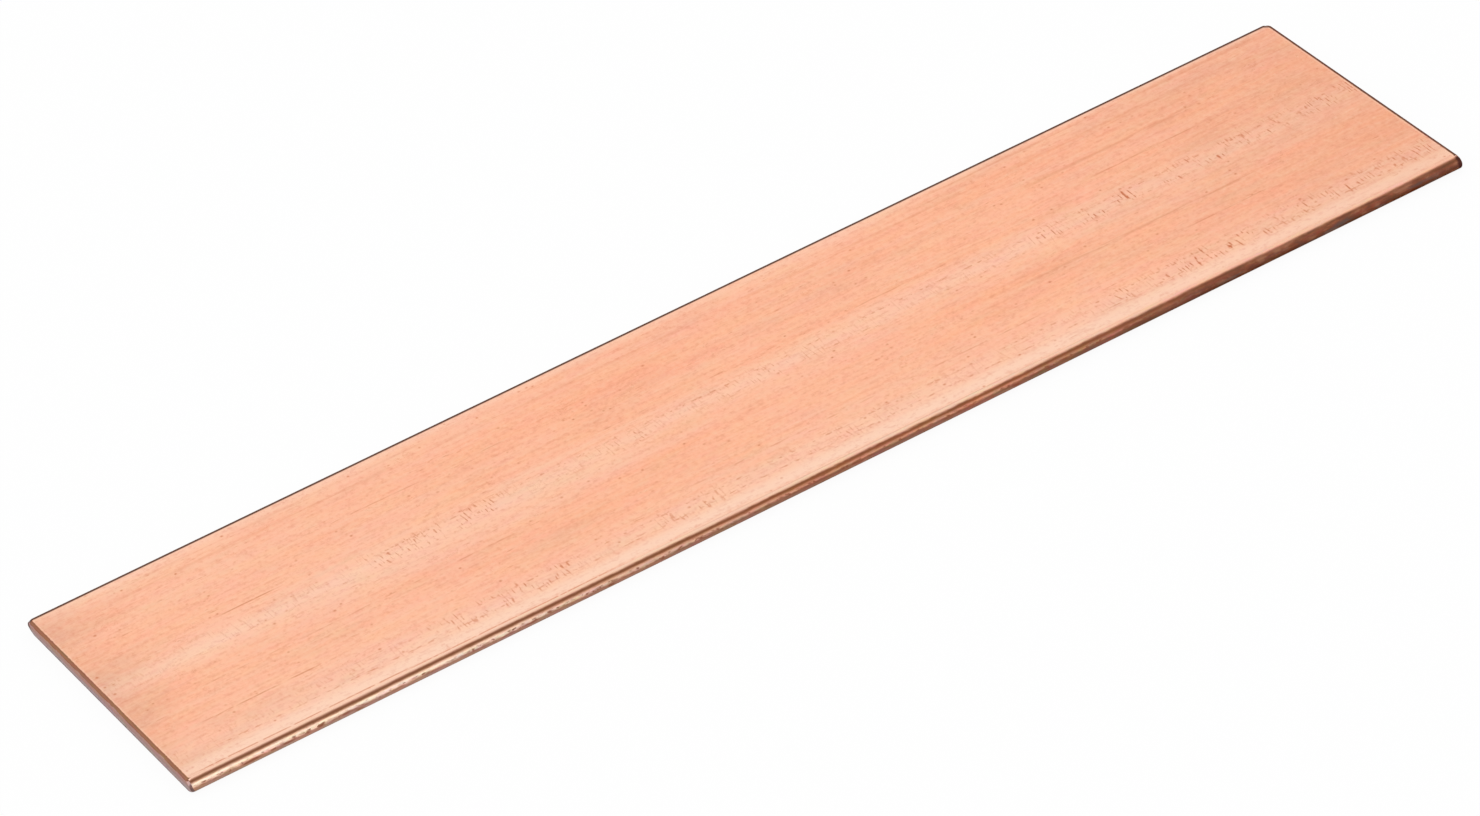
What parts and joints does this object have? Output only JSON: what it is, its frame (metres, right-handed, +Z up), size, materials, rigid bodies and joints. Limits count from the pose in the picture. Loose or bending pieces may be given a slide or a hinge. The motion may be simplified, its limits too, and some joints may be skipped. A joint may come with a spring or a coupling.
{
  "type": "copper flat bar",
  "caption": "Solid copper flat bar with full-round long edges and square sheared ends, for conductors, straps and machined blanks.",
  "frame": {"origin": "middle of the underside, halfway along the length and halfway across the width", "axes": "+X along the bar's length, +Y across its width, +Z up through its thickness, out of the broad face that the shear blade entered"},
  "size_m": [0.3048, 0.0762, 0.0032],
  "materials": {
    "copper": "satin"
  },
  "bodies": {
    "root": {"flat_bar": "copper"}
  },
  "joints": []
}
